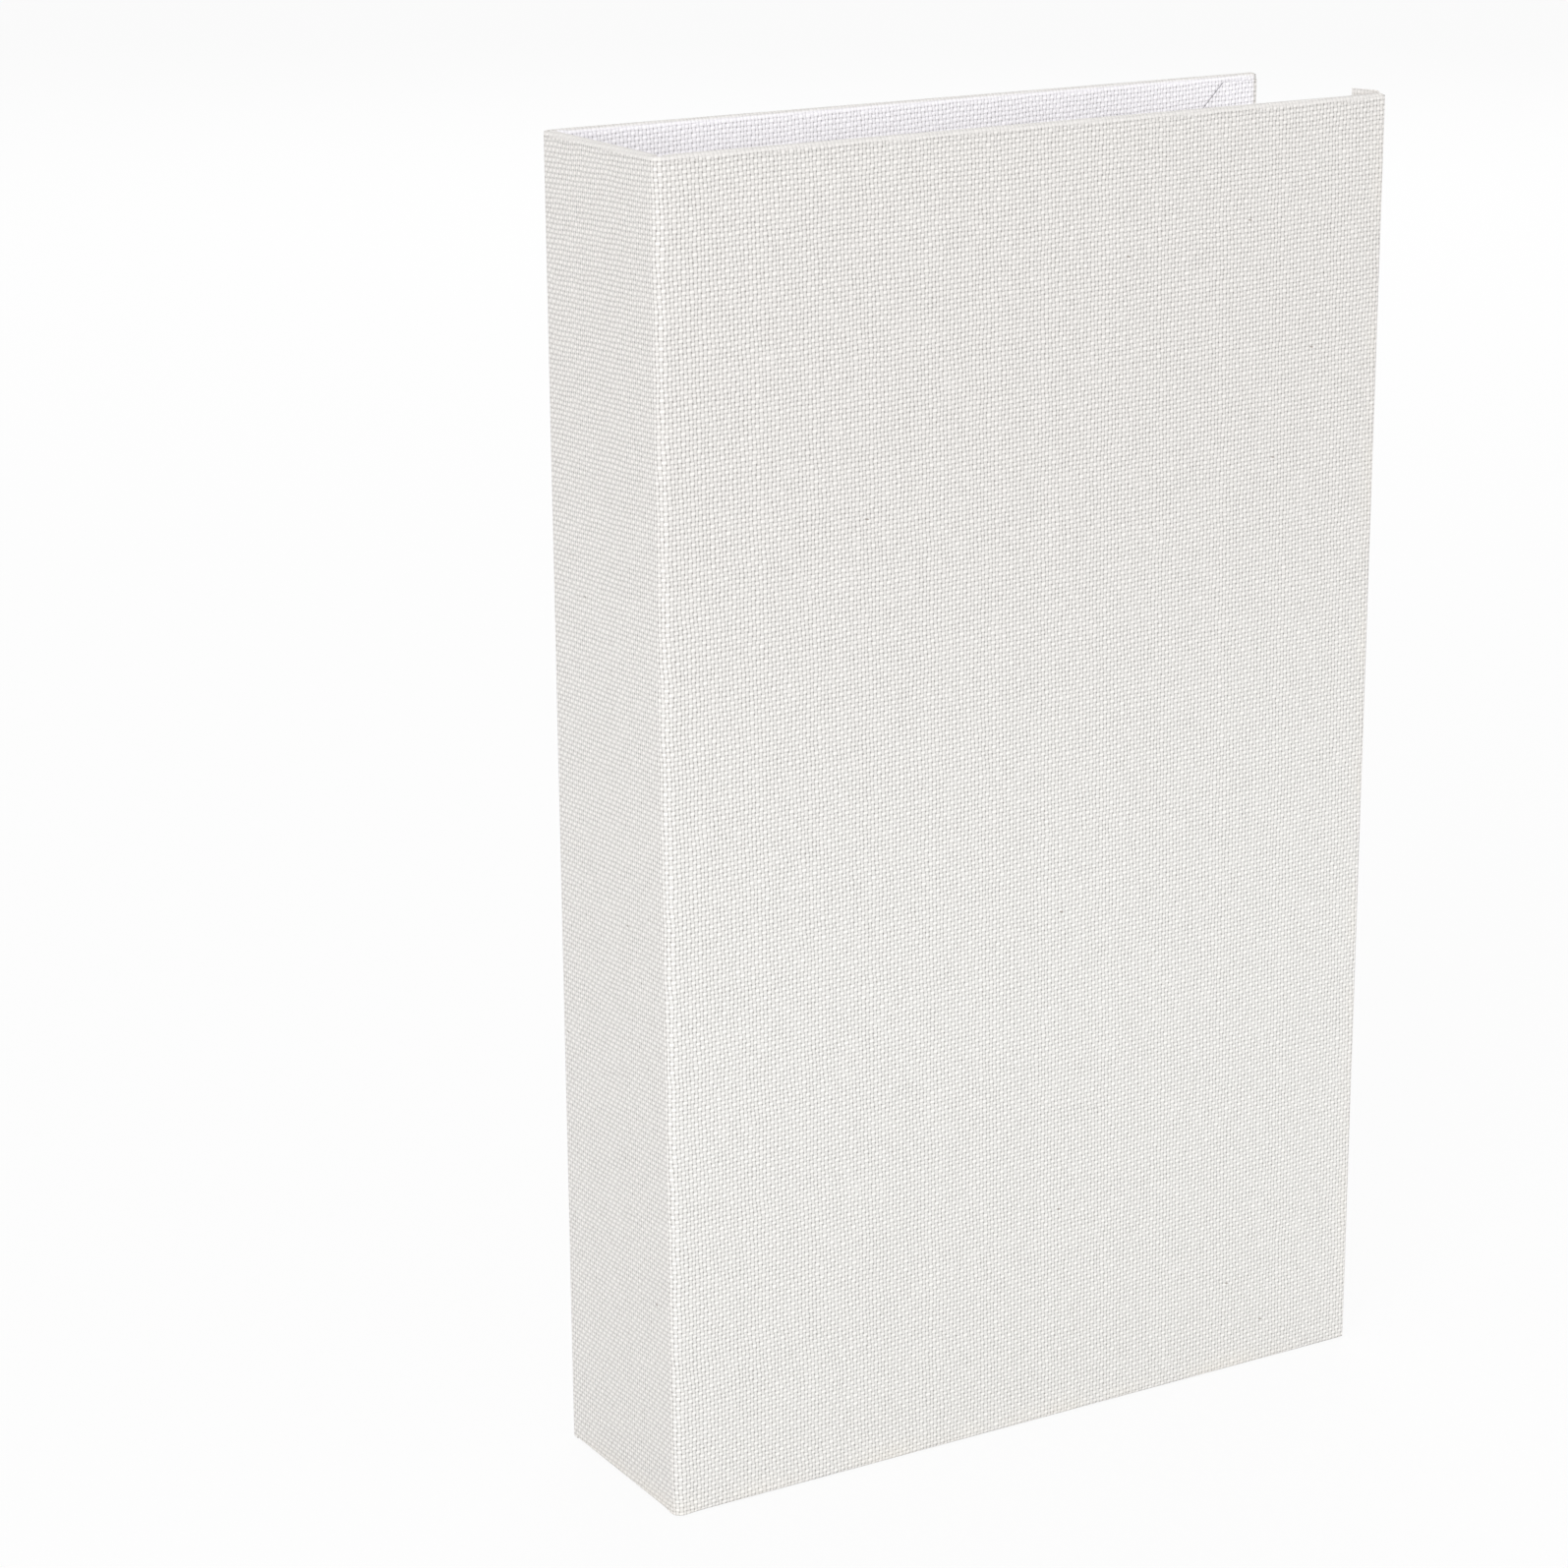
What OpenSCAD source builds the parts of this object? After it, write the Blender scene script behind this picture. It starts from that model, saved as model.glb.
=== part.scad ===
// Clamshell book box: two cloth-covered covers and a spine, with a tray glued inside each cover.
// Closed, the lid tray of the front cover slips over the base tray of the back cover.
// The box stands on its tail edges: +Z is the head, the front cover faces -Y, the spine faces -X.
// The origin is under the middle of the closed box. Sizes are in millimetres.

/* [Case] */
// Height of the closed box, from tail to head
case_h = 330; // [250:5:420]
// Width of the closed box, from spine to fore-edge
case_w = 204; // [150:2:300]
// Thickness of the closed box, from front to back
case_d = 55; // [40:1:90]
// Greyboard in the covers and the spine
board_t = 2; // [1.6:0.1:3]
// Covering cloth, with its glue
cloth_t = 0.4; // [0.3:0.05:0.6]
// Cloth that is turned in over the board edges
turn_in = 20; // [13:1:25]
// Straight end of the fore-edge turn-in at a corner, before its slanting cut
corner_straight = 11; // [6:0.5:12]
// From the rounded head edge to that end
corner_setback = 0.5; // [0.2:0.1:3]

/* [Cloth joints] */
// Outside radius of the cloth where it rounds the corner between cover and spine
joint_r = 2.4; // [2:0.1:3]
// Reach of the hinge lining over the inside of a cover
hinge_lining_w = 22; // [15:1:35]

/* [Trays] */
// Margin of cover left round the lid tray at head, tail and fore-edge
tray_margin = 10; // [8:0.5:16]
// Greyboard in the tray floors and walls
tray_board_t = 1.8; // [1.4:0.1:2.5]
// Paper on the tray floors
lining_t = 0.25; // [0.15:0.05:0.5]

/* [Clearances] */
// Between the two trays at head and tail
nest_gap = 0.8; // [0.6:0.1:1.5]
// Between the two trays at the fore-edge, where the lid tray swings in as it lifts
fore_edge_gap = 2.2; // [2:0.1:4]
// Between a tray rim and the cover or floor it closes on
rim_gap = 0.7; // [0.5:0.1:1.5]
// Between the open side of the trays and the spine
spine_gap = 2.2; // [1.5:0.1:4]
// Between a cover, the spine and the joint cloth at their corner
joint_gap = 0.5; // [0.4:0.05:0.8]

/* [Hidden] */
$fn = 48;
past = 1; // how far a cut runs past a face
linen = [0.92, 0.90, 0.87];
greyboard = [0.62, 0.60, 0.57];
paper = [0.95, 0.94, 0.91];
far_corners = [[1, 0], [1, 1]];
all_corners = [[0, 0], [1, 0], [0, 1], [1, 1]];

cover_t = board_t + 2 * cloth_t; // a covered board
wall_t = tray_board_t + 2 * cloth_t; // a covered tray wall
edge_r = min(0.45 * cover_t, 3 * cloth_t); // round of the cloth over a board edge
rim_r = min(0.45 * wall_t, 3 * cloth_t); // round of the cloth over a tray rim
joint_w = max(cover_t, joint_r) + joint_gap; // from the corner to where cover and spine begin
cavity_d = case_d - 2 * cover_t; // between the insides of the covers
tray_x = cover_t + spine_gap; // open side of both trays, from the spine's outside

lid_inset = tray_margin; // from the head and the tail to the lid tray
lid_end = case_w - tray_margin; // from the spine's outside to the lid tray's far face
lid_depth = cavity_d - rim_gap; // from the inside of the cover to the rim
base_inset = lid_inset + wall_t + nest_gap;
base_end = lid_end - wall_t - fore_edge_gap;
base_depth = cavity_d - tray_board_t - lining_t - rim_gap;

// The front cover and its tray are drawn from the corner where the outside of the cover, the
// outside of the spine and the tail meet: X runs to the fore-edge, Y into the box, Z to the head.
module front_side() {
  translate([-case_w / 2, -case_d / 2, 0])
    children();
}

// The back cover and its tray are drawn in the same way from their own corner
module back_side() {
  translate([-case_w / 2, case_d / 2, 0])
    mirror([0, 1, 0])
      children();
}

// A tray's tail wall is its head wall turned over
module at_tail() {
  translate([0, 0, case_h])
    mirror([0, 0, 1])
      children();
}

// A box given by its lowest and highest corners
module block(low, high) {
  translate(low)
    cube(high - low);
}

// What a round of radius r takes off a square corner at the origin
module corner_waste(r) {
  difference() {
    square([r, r]);
    translate([r, r])
      circle(r);
  }
}

// A rectangle from the origin, rounded at the corners listed: 0 or 1 in each direction
module rounded_rect(w, h, r, corners) {
  difference() {
    square([w, h]);
    for (corner = corners)
      translate([corner[0] * w, corner[1] * h])
        mirror([corner[0], 0])
          mirror([0, corner[1]])
            corner_waste(r);
  }
}

// ---- Covers ----

// The outside of a covered board, rounded along its head, tail and fore-edge
module cover_form() {
  cover_w = case_w - joint_w;
  intersection() {
    translate([joint_w, 0, 0])
      linear_extrude(case_h)
        rounded_rect(cover_w, cover_t, edge_r, far_corners);
    translate([joint_w, 0, 0])
      rotate([90, 0, 90])
        linear_extrude(cover_w)
          rounded_rect(cover_t, case_h, edge_r, all_corners);
    translate([joint_w, cover_t, 0])
      rotate([90, 0, 0])
        linear_extrude(cover_t)
          rounded_rect(cover_w, case_h, edge_r, far_corners);
  }
}

module cover_board() {
  color(greyboard)
    block([joint_w, cloth_t, cloth_t], [case_w - cloth_t, cloth_t + board_t, case_h - cloth_t]);
}

// A slice of the layer that lies on a board inside its turn-ins, from one X to another
module inside_layer(from, to) {
  block([from, cloth_t + board_t, turn_in], [to, cover_t, case_h - turn_in]);
}

// At its ends the fore-edge turn-in lies over the head and tail turn-ins and is cut off slantwise.
// It stops against the tray with this inset and end.
module corner_overlap(inset, end) {
  fold_x = case_w - edge_r;
  end_z = case_h - edge_r - corner_setback;
  difference() {
    translate([0, cover_t + cloth_t, 0])
      rotate([90, 0, 0])
        linear_extrude(cloth_t)
          polygon([
            [fold_x, case_h - turn_in],
            [fold_x, end_z],
            [case_w - corner_straight, end_z],
            [case_w - turn_in, end_z - turn_in + corner_straight],
            [case_w - turn_in, case_h - turn_in]
          ]);
    block([tray_x, cover_t - past, inset], [end, cover_t + cloth_t + past, case_h - inset]);
  }
}

// Cloth over the outside of a board, round three edges and turned in on the inside
module cover_cloth(inset, end) {
  color(linen) {
    difference() {
      cover_form();
      cover_board();
      inside_layer(joint_w, case_w - turn_in);
    }
    corner_overlap(inset, end);
    at_tail() corner_overlap(inset, end);
  }
}

// Lining that comes through the joint from the spine and is glued to the cover
module hinge_lining() {
  color(linen)
    inside_layer(joint_w, hinge_lining_w);
}

// Paper that fills the rest of the layer, level with the turn-ins
module fill_paper() {
  color(paper)
    inside_layer(hinge_lining_w, case_w - turn_in);
}

// ---- Spine ----

module spine_board() {
  color(greyboard)
    block([cloth_t, joint_w, cloth_t], [cloth_t + board_t, case_d - joint_w, case_h - cloth_t]);
}

module spine_lining() {
  color(linen)
    block([cloth_t + board_t, joint_w, turn_in], [cover_t, case_d - joint_w, case_h - turn_in]);
}

module spine_cloth() {
  color(linen)
    difference() {
      translate([0, case_d - joint_w, 0])
        rotate([90, 0, 0])
          linear_extrude(case_d - 2 * joint_w)
            rounded_rect(cover_t, case_h, edge_r, all_corners);
      spine_board();
      spine_lining();
    }
}

// Cloth that bridges the corner between a cover and the spine: two layers glued face to face
module joint_cloth() {
  layers_t = 2 * cloth_t;
  color(linen)
    linear_extrude(case_h)
      difference() {
        rounded_rect(joint_w, joint_w, joint_r, [[0, 0]]);
        translate([layers_t, layers_t])
          rounded_rect(joint_w, joint_w, joint_r - layers_t, [[0, 0]]);
        translate([joint_w - joint_gap, -past])
          square([joint_gap + past, layers_t + 2 * past]);
      }
}

// ---- Trays ----
// inset is the distance from head and tail to the tray, end the distance from the spine's
// outside to its far face, and depth its height from the inside of the cover to its rim.

module tray_floor(inset, end) {
  color(greyboard)
    block([tray_x + lining_t, cover_t, inset + cloth_t],
          [end - cloth_t, cover_t + tray_board_t, case_h - inset - cloth_t]);
}

// Paper over the floor, turned down over its open edge beside the spine
module floor_lining(inset, end) {
  tail = inset + wall_t;
  head = case_h - inset - wall_t;
  floor_y = cover_t + tray_board_t;
  color(paper) {
    block([tray_x, floor_y, tail], [end - wall_t, floor_y + lining_t, head]);
    block([tray_x, cover_t, tail], [tray_x + lining_t, floor_y, head]);
  }
}

module head_wall(inset, end, depth) {
  top = case_h - inset - cloth_t;
  color(greyboard)
    block([tray_x + cloth_t, cover_t + tray_board_t, top - tray_board_t],
          [end - cloth_t, cover_t + depth - cloth_t, top]);
}

module fore_edge_wall(inset, end, depth) {
  color(greyboard)
    block([end - cloth_t - tray_board_t, cover_t + tray_board_t, inset + wall_t],
          [end - cloth_t, cover_t + depth - cloth_t, case_h - inset - wall_t]);
}

// Cloth over the outside of the wall and the floor's edge, round the rim and down the inside
module head_wall_cloth(inset, end, depth) {
  color(linen)
    difference() {
      translate([tray_x, cover_t, case_h - inset - wall_t])
        rotate([90, 0, 90])
          linear_extrude(end - tray_x)
            rounded_rect(depth, wall_t, rim_r, far_corners);
      head_wall(inset, end, depth);
      tray_floor(inset, end);
    }
}

module fore_edge_wall_cloth(inset, end, depth) {
  color(linen)
    difference() {
      translate([end, cover_t, inset + wall_t])
        rotate([0, 0, 90])
          linear_extrude(case_h - 2 * (inset + wall_t))
            rounded_rect(depth, wall_t, rim_r, far_corners);
      fore_edge_wall(inset, end, depth);
      tray_floor(inset, end);
    }
}

// ---- The pieces in their places ----

front_side() cover_board();  // front_board
front_side() cover_cloth(lid_inset, lid_end);  // front_cloth
front_side() fill_paper();  // front_fill_paper
front_side() hinge_lining();  // front_hinge_lining

front_side() tray_floor(lid_inset, lid_end);  // lid_floor
front_side() floor_lining(lid_inset, lid_end);  // lid_floor_lining
front_side() head_wall(lid_inset, lid_end, lid_depth);  // lid_head_wall
front_side() at_tail() head_wall(lid_inset, lid_end, lid_depth);  // lid_tail_wall
front_side() fore_edge_wall(lid_inset, lid_end, lid_depth);  // lid_fore_edge_wall
front_side() head_wall_cloth(lid_inset, lid_end, lid_depth);  // lid_head_wall_cloth
front_side() at_tail() head_wall_cloth(lid_inset, lid_end, lid_depth);  // lid_tail_wall_cloth
front_side() fore_edge_wall_cloth(lid_inset, lid_end, lid_depth);  // lid_fore_edge_wall_cloth

front_side() spine_board();
front_side() spine_cloth();
front_side() spine_lining();
front_side() joint_cloth();  // front_joint_cloth
back_side() joint_cloth();  // back_joint_cloth

back_side() cover_board();  // back_board
back_side() cover_cloth(base_inset, base_end);  // back_cloth
back_side() fill_paper();  // back_fill_paper
back_side() hinge_lining();  // back_hinge_lining

back_side() tray_floor(base_inset, base_end);  // base_floor
back_side() floor_lining(base_inset, base_end);  // base_floor_lining
back_side() head_wall(base_inset, base_end, base_depth);  // base_head_wall
back_side() at_tail() head_wall(base_inset, base_end, base_depth);  // base_tail_wall
back_side() fore_edge_wall(base_inset, base_end, base_depth);  // base_fore_edge_wall
back_side() head_wall_cloth(base_inset, base_end, base_depth);  // base_head_wall_cloth
back_side() at_tail() head_wall_cloth(base_inset, base_end, base_depth);  // base_tail_wall_cloth
back_side() fore_edge_wall_cloth(base_inset, base_end, base_depth);  // base_fore_edge_wall_cloth
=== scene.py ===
import math

import bmesh
import bpy
from mathutils import Matrix, Vector


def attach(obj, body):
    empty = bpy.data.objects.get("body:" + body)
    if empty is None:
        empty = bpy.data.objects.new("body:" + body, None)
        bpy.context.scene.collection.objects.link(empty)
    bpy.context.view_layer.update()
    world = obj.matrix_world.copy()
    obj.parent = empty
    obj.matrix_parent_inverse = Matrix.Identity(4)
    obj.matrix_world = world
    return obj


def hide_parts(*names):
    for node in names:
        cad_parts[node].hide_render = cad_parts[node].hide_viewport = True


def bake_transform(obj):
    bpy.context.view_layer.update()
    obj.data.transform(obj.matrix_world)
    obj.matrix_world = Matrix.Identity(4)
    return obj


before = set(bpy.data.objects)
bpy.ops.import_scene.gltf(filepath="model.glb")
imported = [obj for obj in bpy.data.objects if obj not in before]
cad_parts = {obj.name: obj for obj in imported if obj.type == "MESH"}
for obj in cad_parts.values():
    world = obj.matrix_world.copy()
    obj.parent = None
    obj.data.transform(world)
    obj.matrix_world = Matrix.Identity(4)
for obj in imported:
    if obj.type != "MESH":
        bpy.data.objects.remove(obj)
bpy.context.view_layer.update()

bpy.context.scene.view_settings.view_transform = "Standard"
bpy.ops.object.select_all(action="DESELECT")

# The closed case in millimetres, as the solids have it. Points are given from the corner where a
# cover, the spine and the tail meet: x runs to the fore-edge, y into the box, z to the head.
case = {
    "height": 330.0, "width": 204.0, "depth": 55.0,
    "coverThick": 2.8,  # board with its cloth
    "jointThick": 0.8,  # two layers of cloth
    "edgeRound": 1.2, "jointRound": 2.4,
    "jointTo": 2.8, "boardFrom": 3.3,  # where the joint ends and the board begins
    "turnIn": 20.0,
    "clothThick": 0.34,
    "seam": 51.7,  # where the front sheet meets the back sheet on the spine
    # in the joint the edge is thinner, stops a little short and is less rounded, up to roundFrom
    "jointEdgeRound": 0.36, "jointShort": 0.2, "shortWithin": 1.8, "roundFrom": 6.5,
    "jointSteps": (3.3, 3.18, 3.05, 2.92, 2.8, 2.6), "bendSteps": 16,
}
frontCover, backCover = 1, -1  # whose corner a point is given from


# The camera stands where the photograph was taken from. Angles are in degrees
view = {
    "place": (-0.53459, -0.81854, 0.45279),
    "azimuth": 30.417, "down": 16.5, "roll": -0.417,
    "lens": 93.85, "sensor": 36.0,
}


def setCamera():
    azimuth, down, roll = (math.radians(view[k]) for k in ("azimuth", "down", "roll"))
    forward = Vector((math.sin(azimuth) * math.cos(down), math.cos(azimuth) * math.cos(down), -math.sin(down)))
    level = Vector((math.cos(azimuth), -math.sin(azimuth), 0))
    above = level.cross(forward)
    right = level * math.cos(roll) + above * math.sin(roll)
    up = above * math.cos(roll) - level * math.sin(roll)
    bpy.ops.object.camera_add(location=view["place"])
    camera = bpy.context.object
    camera.rotation_euler = Matrix((right, up, -forward)).transposed().to_euler()
    camera.data.lens = view["lens"]
    camera.data.sensor_width = view["sensor"]
    camera.data.clip_start = 0.01
    bpy.context.scene.camera = camera


setCamera()
print("camera set")


# A socket that takes part in sums: an expression on it adds Math nodes
class Wire:
    def __init__(self, finish, socket):
        self.finish = finish
        self.socket = socket

    def maths(self, operation, *others, turned=False):
        terms = [*others, self] if turned else [self, *others]
        return self.finish.node("ShaderNodeMath", {"operation": operation}, dict(enumerate(terms)))

    def __add__(self, other):
        return self.maths("ADD", other)

    def __sub__(self, other):
        return self.maths("SUBTRACT", other)

    def __rsub__(self, other):
        return self.maths("SUBTRACT", other, turned=True)

    def __mul__(self, other):
        return self.maths("MULTIPLY", other)

    def __truediv__(self, other):
        return self.maths("DIVIDE", other)

    def __rtruediv__(self, other):
        return self.maths("DIVIDE", other, turned=True)

    def __mod__(self, other):
        return self.maths("FLOORED_MODULO", other)

    def __pow__(self, other):
        return self.maths("POWER", other)

    def __abs__(self):
        return self.maths("ABSOLUTE")

    def __gt__(self, other):
        return self.maths("GREATER_THAN", other)

    __radd__ = __add__
    __rmul__ = __mul__


# A material or world under construction
class Finish:
    def __init__(self, owner):
        owner.use_nodes = True
        self.owner = owner
        self.tree = owner.node_tree
        self.tree.nodes.clear()

    def node(self, kind, settings=None, sockets=None, out=0):
        made = self.tree.nodes.new(kind)
        for name, value in (settings or {}).items():
            setattr(made, name, value)
        for key, value in (sockets or {}).items():
            if isinstance(value, Wire):
                self.tree.links.new(value.socket, made.inputs[key])
            else:
                made.inputs[key].default_value = value
        return Wire(self, made.outputs[out])

    def noise(self, place, scale, detail=0.0, out=0):
        return self.node("ShaderNodeTexNoise", {}, {"Vector": place, "Scale": scale, "Detail": detail}, out)

    def point(self, x, y, z=0.0):
        return self.node("ShaderNodeCombineXYZ", {}, {0: x, 1: y, 2: z})

    def parts(self, vector):
        return [self.node("ShaderNodeSeparateXYZ", {}, {0: vector}, out=k) for k in (0, 1, 2)]

    def rise(self, value, start, end):
        return self.node("ShaderNodeMapRange", {"interpolation_type": "SMOOTHSTEP"},
                         {"Value": value, "From Min": start, "From Max": end})

    # How far a length in metres is into a band whose limits are in millimetres
    def band(self, value, limits, origin=0.0):
        return self.rise(value, (origin + limits[0]) / 1000, (origin + limits[1]) / 1000)

    def blend(self, share, first, second):
        return self.node("ShaderNodeMix", {"data_type": "RGBA"}, {0: share, 6: first, 7: second}, out=2)

    def finishWith(self, shader, kind="ShaderNodeOutputMaterial"):
        end = self.tree.nodes.new(kind)
        self.tree.links.new(shader.socket, end.inputs["Surface"])
        return self.owner


# Coarse plain-weave book cloth. Lengths are in millimetres, colours are linear.
bookCloth = {
    "warpPitch": 1.015, "weftPitch": 1.179,
    "warpSkew": -12.5, "weftSkew": 38.0,  # threads crossed per metre by a line along the other set
    "headRow": 328.5,  # a wider gap between weft threads runs along the head edge here
    "wholeSheet": 460.94,  # from one fore-edge over the spine to the other
    # gap is the colour of the painted shade in the gaps between the threads
    "thread": (0.975, 0.96, 0.935), "gap": (0.25, 0.235, 0.22),
    "paintedShadeTint": (0.937, 0.925, 0.923),  # painted shade, a little pinkish: towards the head of the front cover, and over the spine
    "turnInLight": (1.02, 1.018, 1.085),  # painted light with a painted bluish reflection, where the turn-ins lie in shade inside the case
    "handled": (0.90, 0.85, 0.76),  # along the tail and the fore-edges
    "fleck": (0.33, 0.29, 0.26),
    "relief": 0.22, "fibreRelief": 0.06,
    "rough": 0.88, "sheen": 0.12, "sheenRough": 0.5, "specular": 0.25,
}

# How its threads run. A pair gives the warp and then the weft. Amounts are in pitches, scales per metre
threadRun = {
    "drift": (0.9, 0.5), "driftScale": 55.0,
    "wobble": (0.6, 0.4), "wobbleAcross": (520, 420), "wobbleAlong": 170,
    "lean": 0.08,  # how far a thread sways between its crossings
}


# Where a point of the cloth lies among the threads
def threadsAt(finish, flat, u, v, look):
    run = threadRun
    drift = finish.parts(finish.noise(flat, run["driftScale"], 1.0, out=1))
    warpWobble = finish.noise(finish.point(u * run["wobbleAcross"][0], v * run["wobbleAlong"]), 1.0)
    weftWobble = finish.noise(finish.point(u * run["wobbleAlong"], v * run["wobbleAcross"][1], 7.0), 1.0)
    across = (u * (1000 / look["warpPitch"]) + v * look["warpSkew"]
              + (drift[0] - 0.5) * run["drift"][0] + (warpWobble - 0.5) * run["wobble"][0])
    along = ((v - look["headRow"] / 1000) * (1000 / look["weftPitch"]) + u * look["weftSkew"]
             + (drift[1] - 0.5) * run["drift"][1] + (weftWobble - 0.5) * run["wobble"][1])
    warp, weft = across.maths("FLOOR"), along.maths("FLOOR")
    over = 1 - 2 * ((warp + weft) % 2)  # 1 where the warp thread lies on top, -1 where the weft does
    fromWeft = along - weft - 0.5  # from the middle of each thread
    fromWarp = across - warp - 0.5 + over * fromWeft * run["lean"]
    return {"warp": warp, "weft": weft, "over": over, "fromWarp": fromWarp, "fromWeft": fromWeft}


# A thread's section, in pitches. Its half width grows with its slubs and where it lies on top
threadShape = {
    "warpHalf": 0.26, "weftHalf": 0.24, "warpSlub": 0.24, "weftSlub": 0.22, "swell": 0.1,
    "slubAcross": 3.7, "slubAlong": 260,  # scales, per thread and per metre
    "warpSkirt": 0.12, "weftSkirt": 0.16,  # how far the rounding runs past the half width
    "lowest": -0.3,
    "warpEdge": (-0.06, 0.08), "weftEdge": (-0.10, 0.10),  # where the gap beside a thread begins and is full
    "slit": 0.32,  # how open it stays between two warp threads under a weft thread
}


# The relief of the threads, which set lies on top, and how far a point is in the gaps
def threadRelief(finish, u, v, threads):
    shape, over = threadShape, threads["over"]
    fromWarp, fromWeft = threads["fromWarp"], threads["fromWeft"]
    warpSlub = finish.noise(finish.point(threads["warp"] * shape["slubAcross"], v * shape["slubAlong"]), 1.0, 1.0)
    weftSlub = finish.noise(
        finish.point(u * shape["slubAlong"], threads["weft"] * shape["slubAcross"], 3.0), 1.0, 1.0)
    warpWay = (fromWeft * math.pi).maths("COSINE") * over
    weftWay = (fromWarp * math.pi).maths("COSINE") * over
    warpHalf = shape["warpHalf"] + shape["warpSlub"] * warpSlub + warpWay * shape["swell"]
    weftHalf = shape["weftHalf"] + shape["weftSlub"] * weftSlub - weftWay * shape["swell"]
    warpRound = 1 - (fromWarp / (warpHalf + shape["warpSkirt"])) ** 2
    weftRound = 1 - (fromWeft / (weftHalf + shape["weftSkirt"])) ** 2
    warpHeight = (warpRound + warpWay) * 0.5
    weftHeight = (weftRound - weftWay) * 0.5
    height = warpHeight.maths("MAXIMUM", weftHeight).maths("MAXIMUM", shape["lowest"])
    besideWarp = finish.rise(abs(fromWarp) - warpHalf, *shape["warpEdge"])
    besideWeft = finish.rise(abs(fromWeft) - weftHalf, *shape["weftEdge"])
    hole = besideWarp * (shape["slit"] + (1 - shape["slit"]) * besideWeft)
    return height, warpHeight > weftHeight, besideWarp, hole


# Bands of the sheet, in millimetres: where each begins and is full. The head's are counted from the head
# row, and foreTurnIn and foreEdge from the fore-edge
clothBands = {
    "headRound": (0.2, 0.7), "headRoundEnd": (4.0, 5.0), "headTurnIn": (3.2, 4.2), "headShadeLine": (0.1, 0.4),
    "foreTurnIn": (2.8, 3.8), "foreTurnInEnd": (328.3, 330.0),
    "tail": (0.0, 7.0), "foreEdge": (0.0, 6.0), "shadedHead": (100.0, 290.0), "shadedSpine": (203.5, 204.5),
}

# How light the cloth is. The threads differ by threadShade, fibreShade and crossingShade. The crests, the places
# where a warp thread comes up, get a painted highlight, and the turn-ins, which lie in shade inside the case, get
# painted light
clothLight = {
    "base": 0.76, "crestHighlight": 0.24, "turnInLight": 0.12,
    "weftCrest": 0.42, "warpCrest": (0.50, 0.82), "crestEnd": (0.20, 0.36), "crestFade": 0.8,
    # along the head rounding the crests are evened out and most of the gap shade is taken off, a smooth painted
    # highlight
    "headCrest": 0.75, "headShare": 0.7,
    "threadShade": 0.015, "fibreShade": 0.04, "crossingShade": 0.12, "crossingBase": 0.92,
    "fibreScale": 2600, "patchScale": 700.0,
    # how deep the painted shade in the gaps goes, and a darker painted shade line along the wider gap under the
    # head
    "gapShadeDepth": (0.58, 0.45), "headLineWarp": (0.1, 0.45), "headLinePatch": (0.3, 1.1),
    "headClosed": 0.8, "turnInShadeOff": 0.15,  # how far the painted gap shade is taken off there: painted highlight at the head, painted light on the turn-ins
}

# Painted shade towards the head and over the spine, wear along the edges, and a few lint flecks, whose pattern is
# drawn out along the weft
clothMarks = {
    "shadedSpineShare": 0.65,
    "cloudScale": 40.0, "cloud": (0.35, 0.65), "handledShare": 0.30, "foreEdgeShare": 0.6,
    "fleckAcross": (60, 25), "fleckUp": (-40, 160), "fleckSize": 0.045, "fleckCore": 0.6,
    "fleckPick": 0.985, "fleckShare": 0.8,
}


# tone darkens the whole cloth: below 1 it is painted shade
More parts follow.
